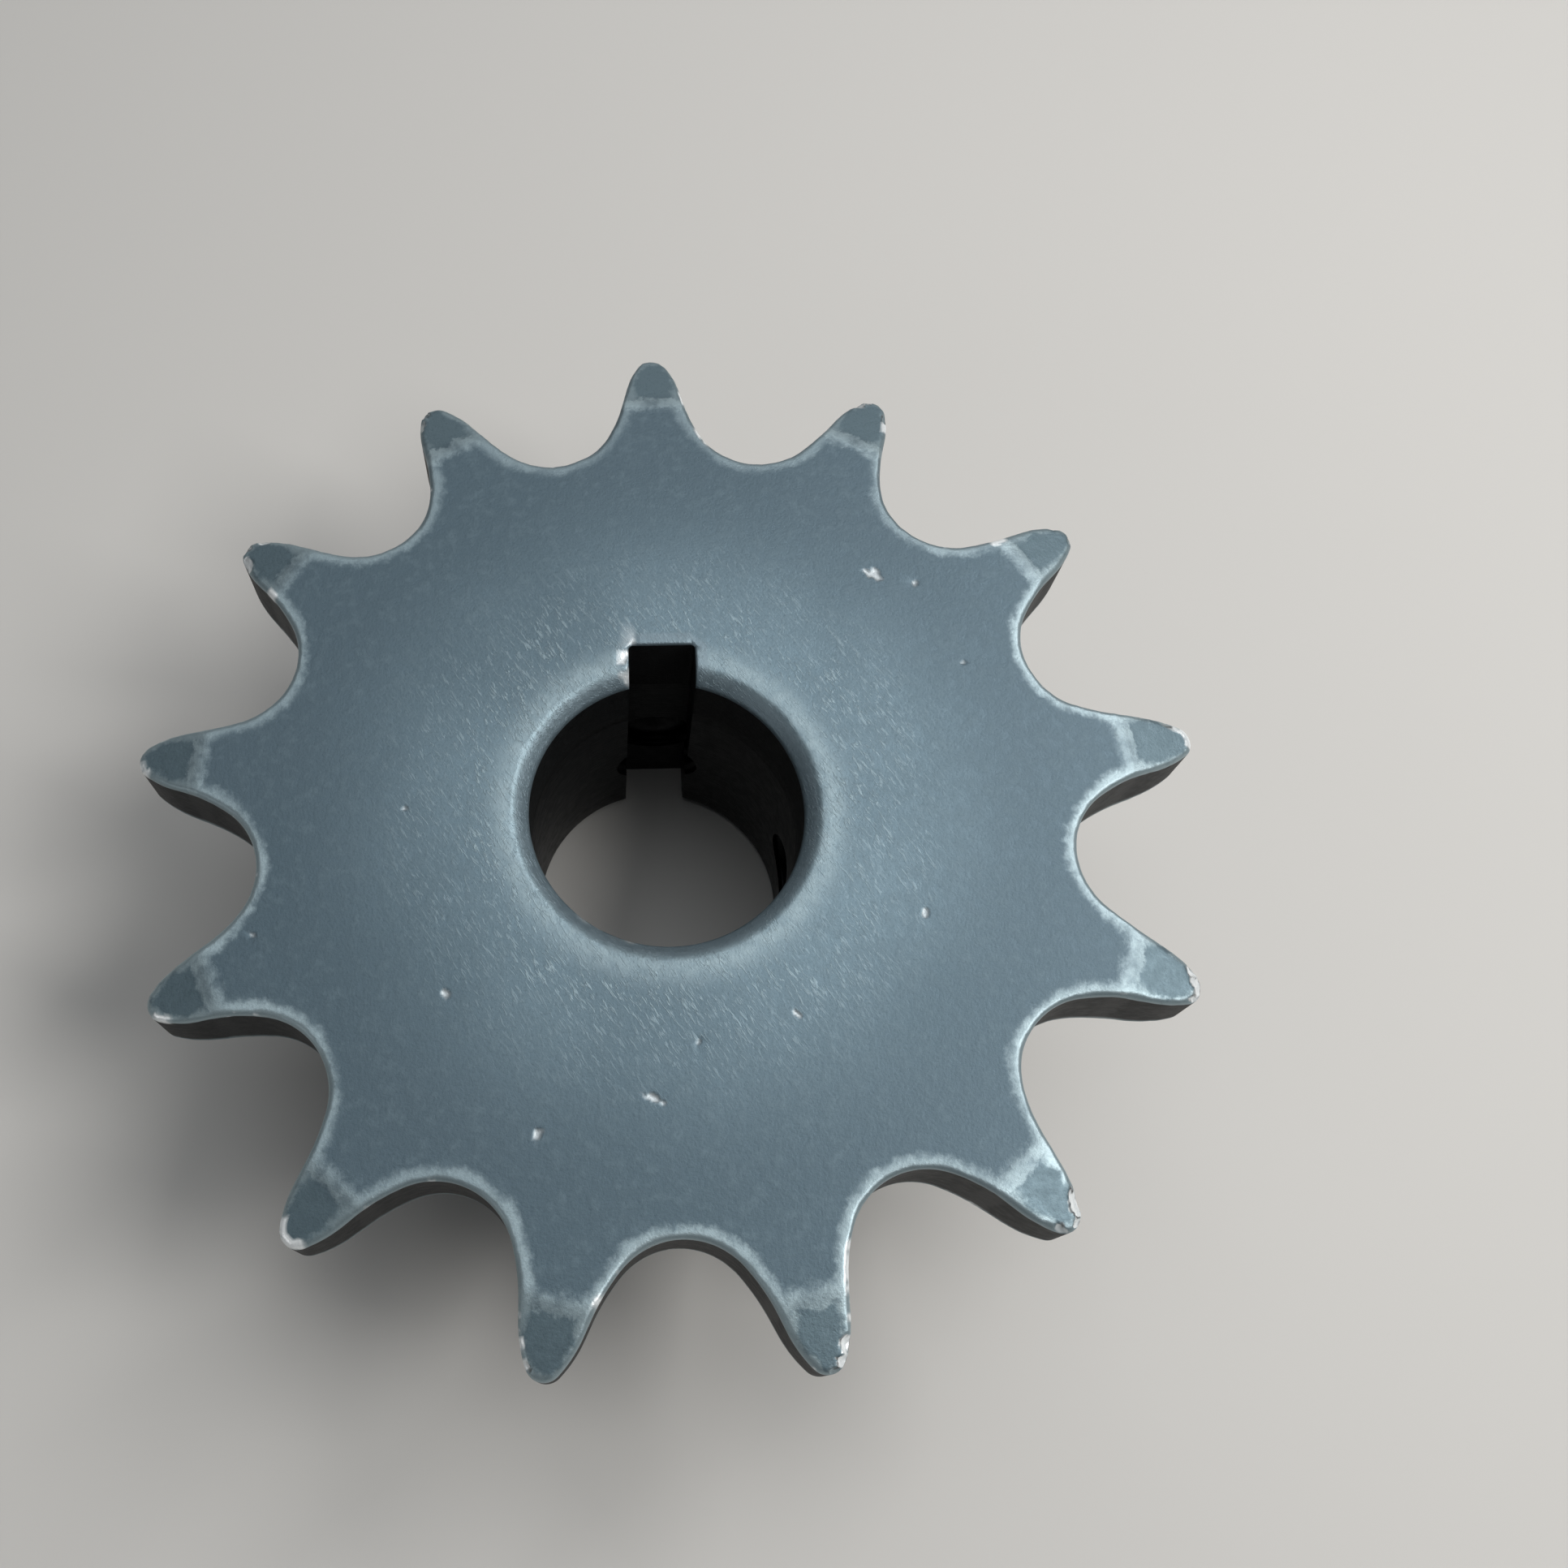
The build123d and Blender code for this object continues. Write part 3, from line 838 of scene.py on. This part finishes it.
def screw_steel():
    g = Graph("screw_steel")
    crest = g.attribute("crest")
    medium, fine = g.noise(1.4, 3, seed=41.0), g.noise(7.0, 3, seed=42.0)
    base = g.mix(g.step(medium, 0.3, 0.7), colour(36, 36, 38), colour(50, 50, 52))
    worn = g.math("MULTIPLY", g.step(crest, 0.75, 0.98), g.step(fine, 0.35, 0.6, 0, 0.75))
    base = g.mix(worn, base, colour(150, 152, 154))
    base = g.mix(g.step(medium, 0.62, 0.75, 0, 0.3), base, colour(82, 66, 50))
    rough = g.step(fine, 0.3, 0.7, 0.30, 0.46)
    return g.finish(Base_Color=base, Roughness=rough, Metallic=0.6, Normal=g.bump(fine, 0.02))


PLATE_STEEL, HUB_STEEL, WELD_METAL, SCREW_STEEL = plate_steel(), hub_steel(), weld_metal(), screw_steel()


# ---------------------------------------------------------------- weld
def build_weld():
    """A fillet weld laid in one pass round the hub, with a crescent ripple for each step of the torch."""
    around, across, ripples = 1400, 13, 150
    finish_angle, finish_length = 4.1, 0.05  # where the bead laps over its own start, in radians
    slope = math.sqrt(0.5)
    root_r, root_leg = HUB_RADIUS - 0.05, WELD_LEG * 0.93
    v, crest = [], []
    for i in range(around):
        a = 2 * math.pi * i / around
        ca, sa = math.cos(a), math.sin(a)
        waver = smooth_noise(ca * 22, sa * 22, 0, 0.16, 5.1)
        beat = 0.5 * smooth_noise(ca * 22, sa * 22, 0, 0.3, 6.2)
        lap = math.exp(-((a - finish_angle) / finish_length) ** 2)
        leg = WELD_LEG * (0.95 + 0.05 * waver)
        for j in range(across):
            s = j / (across - 1)
            bulge = math.sin(math.pi * s)
            phase = ripples * a / (2 * math.pi) + 0.55 * bulge + beat
            ripple = math.sin(math.pi * (phase % 1) ** 0.6) if 0 < s < 1 else 0
            full = (0.22 + 0.08 * waver + 0.18 * lap) * bulge + 0.11 * ripple * max(bulge, 0) ** 0.5
            r = HUB_RADIUS + leg * (1 - s) + full * slope
            v.append((r * ca, r * sa, -FACE_Z - leg * s - full * slope))
            crest.append(ripple)
        for r, z in ((root_r, -root_leg), (root_r, 0), (HUB_RADIUS + root_leg, 0)):
            v.append((r * ca, r * sa, z - FACE_Z))
            crest.append(0)
    n = across + 3
    sections = [np.arange(n) + i * n for i in range(around)]
    made = make_object("weld_ripples", v, join_rings(sections + sections[:1]), [WELD_METAL])
    add_attribute(made, "crest", crest)
    return made


# ---------------------------------------------------------------- set screws
def build_screw(name, node, outward, body):
    """A threaded set screw with a hex socket and a cup point, along outward from the bore axis."""
    low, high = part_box(node)
    u, w = Vector(outward), Vector((0, 0, 1))
    q = w.cross(u)
    start = min(low.dot(u), high.dot(u)) / MM
    columns, rows_per_turn = 72, 14
    end_radius, taper_length = 2.35, 0.75
    rows = int(SCREW_LENGTH / THREAD_PITCH * rows_per_turn)

    # Each ring of points: its kind, its radius (a share of the socket's for "hex") and its height
    cup = ((0.02, 0.88), (0.6, 0.58), (1.2, 0.26), (1.66, 0.02), (1.8, 0.0), (2.3, 0.0))
    socket = [(1.02, 0), (1.0, 0.12)]
    socket += [(1.0, SOCKET_DEPTH * t) for t in (0.35, 0.7, 1.0)]
    socket += [(0.5, SOCKET_DEPTH + 0.15), (0.02, SOCKET_DEPTH + 0.3)]
    path = [("flat", radius, h) for radius, h in cup]
    path += [("thread", None, SCREW_LENGTH * (i + 0.5) / rows) for i in range(rows)]
    path += [("flat", end_radius, SCREW_LENGTH), ("flat", 2.05, SCREW_LENGTH)]
    path += [("hex", share, SCREW_LENGTH - depth) for share, depth in socket]

    v, crest = [], []
    for kind, radius, h in path:
        for i in range(columns):
            a = 2 * math.pi * i / columns
            if kind == "flat":
                r, c = radius, 0.4
            elif kind == "hex":
                fold = (a % (math.pi / 3)) - math.pi / 6
                r, c = radius * SOCKET_HALF_FLATS / math.cos(fold), 0.3
            else:
                t = (h / THREAD_PITCH - a / (2 * math.pi)) % 1
                rise = min(max((abs(t - 0.5) - 0.06) / 0.37, 0), 1)
                taper = min(1, h / taper_length, (SCREW_LENGTH - h) / taper_length)
                limit = end_radius + (CREST_RADIUS - end_radius) * taper
                r = min(CREST_RADIUS - (CREST_RADIUS - ROOT_RADIUS) * rise, limit)
                c = 1 - rise if taper >= 1 else 0.8
            p = u * (start + h) + q * (r * math.cos(a)) + w * (r * math.sin(a))
            v.append((p.x, p.y, p.z + SCREW_Z))
            crest.append(c)
    rings = [np.arange(columns) + j * columns for j in range(len(path))]
    ends = [tuple(rings[0].tolist()), tuple(rings[-1].tolist())]
    made = make_object(name, v, join_rings(rings) + ends, [SCREW_STEEL])
    add_attribute(made, "crest", crest)
    made.data.set_sharp_from_angle(angle=math.radians(40))
    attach(made, body)
    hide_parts(node)


# ---------------------------------------------------------------- the pieces
weld = build_weld()
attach(weld, "sprocket")
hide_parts("weld_bead")
build_screw("key_screw_threaded", "key_set_screw", (0, 1, 0), "key_screw")
build_screw("side_screw_threaded", "side_set_screw", (1, 0, 0), "side_screw")
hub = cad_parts["hub"]
hub.data.materials.clear()
hub.data.materials.append(HUB_STEEL)

plate = build_plate()
plate.data.materials.append(PLATE_STEEL)
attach(plate, "sprocket")
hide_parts("toothed_plate")
weighted = plate.modifiers.new("face normals", "WEIGHTED_NORMAL")
weighted.keep_sharp = True
weighted.weight = 90

# ---------------------------------------------------------------- camera, fitted to the photo's view
camera_data = bpy.data.cameras.new("camera")
camera = bpy.data.objects.new("camera", camera_data)
bpy.context.scene.collection.objects.link(camera)
bpy.context.scene.camera = camera
camera_data.sensor_width = 36
camera_data.lens = 38.35
camera_data.shift_x = 0.0932
camera_data.shift_y = -0.0932
camera_data.clip_start = 0.005
camera_data.clip_end = 10
forward = Vector((0.0263, 0.4213, -0.9065)).normalized()
up = Vector((0.0163, 0.9065, 0.4218))
right = forward.cross(up).normalized()
up = right.cross(forward)
camera.matrix_world = Matrix((
    (right.x, up.x, -forward.x, -4.84 * MM),
    (right.y, up.y, -forward.y, -37.74 * MM),
    (right.z, up.z, -forward.z, 112.08 * MM),
    (0, 0, 0, 1),
))

# ---------------------------------------------------------------- floor and light
floor_reach, floor_z = 3, cad_low.z - 0.02 * MM  # just below the hub's end, which would show through it
corners = [(x * floor_reach, y * floor_reach, floor_z) for x, y in ((-1, -1), (1, -1), (1, 1), (-1, 1))]
floor_mesh = bpy.data.meshes.new("floor")
floor_mesh.from_pydata(corners, [], [(0, 1, 2, 3)])
floor = bpy.data.objects.new("floor", floor_mesh)
bpy.context.scene.collection.objects.link(floor)
floor_material = bpy.data.materials.new("floor")
floor_material.use_nodes = True
floor_shader = floor_material.node_tree.nodes["Principled BSDF"]
floor_shader.inputs["Base Color"].default_value = (0.6, 0.59, 0.57, 1)
floor_shader.inputs["Roughness"].default_value = 0.7
floor_mesh.materials.append(floor_material)

world = bpy.data.worlds.new("world")
bpy.context.scene.world = world
world.use_nodes = True
sky = world.node_tree.nodes["Background"]
sky.inputs["Color"].default_value = (0.86, 0.9, 0.95, 1)
sky.inputs["Strength"].default_value = 0.08
bpy.context.scene.view_settings.view_transform = "Standard"


def area_light(name, location, size, power, tint):
    """A soft light that faces the part."""
    data = bpy.data.lights.new(name, "AREA")
    data.shape = "RECTANGLE"
    data.size, data.size_y = size
    data.energy = power
    data.color = tint
    light = bpy.data.objects.new(name, data)
    bpy.context.scene.collection.objects.link(light)
    light.location = location
    light.rotation_mode = "QUATERNION"
    light.rotation_quaternion = (-Vector(location)).to_track_quat("-Z", "Y")


SOFT_WHITE = (1.0, 0.98, 0.96)
area_light("window", (0.238, -0.064, 0.315), (0.16, 0.16), 0.85, (1.0, 0.98, 0.95))
area_light("second_window", (0.169, 0.128, 0.253), (0.12, 0.12), 0.35, SOFT_WHITE)
area_light("overhead", (0.0, 0.24, 0.76), (0.6, 0.6), 1.6, (0.95, 0.98, 1.0))
area_light("behind", (0.0, 0.5, 0.24), (0.4, 0.2), 0.22, SOFT_WHITE)
area_light("left", (-0.4, -0.25, 0.2), (0.2, 0.2), 0.16, SOFT_WHITE)
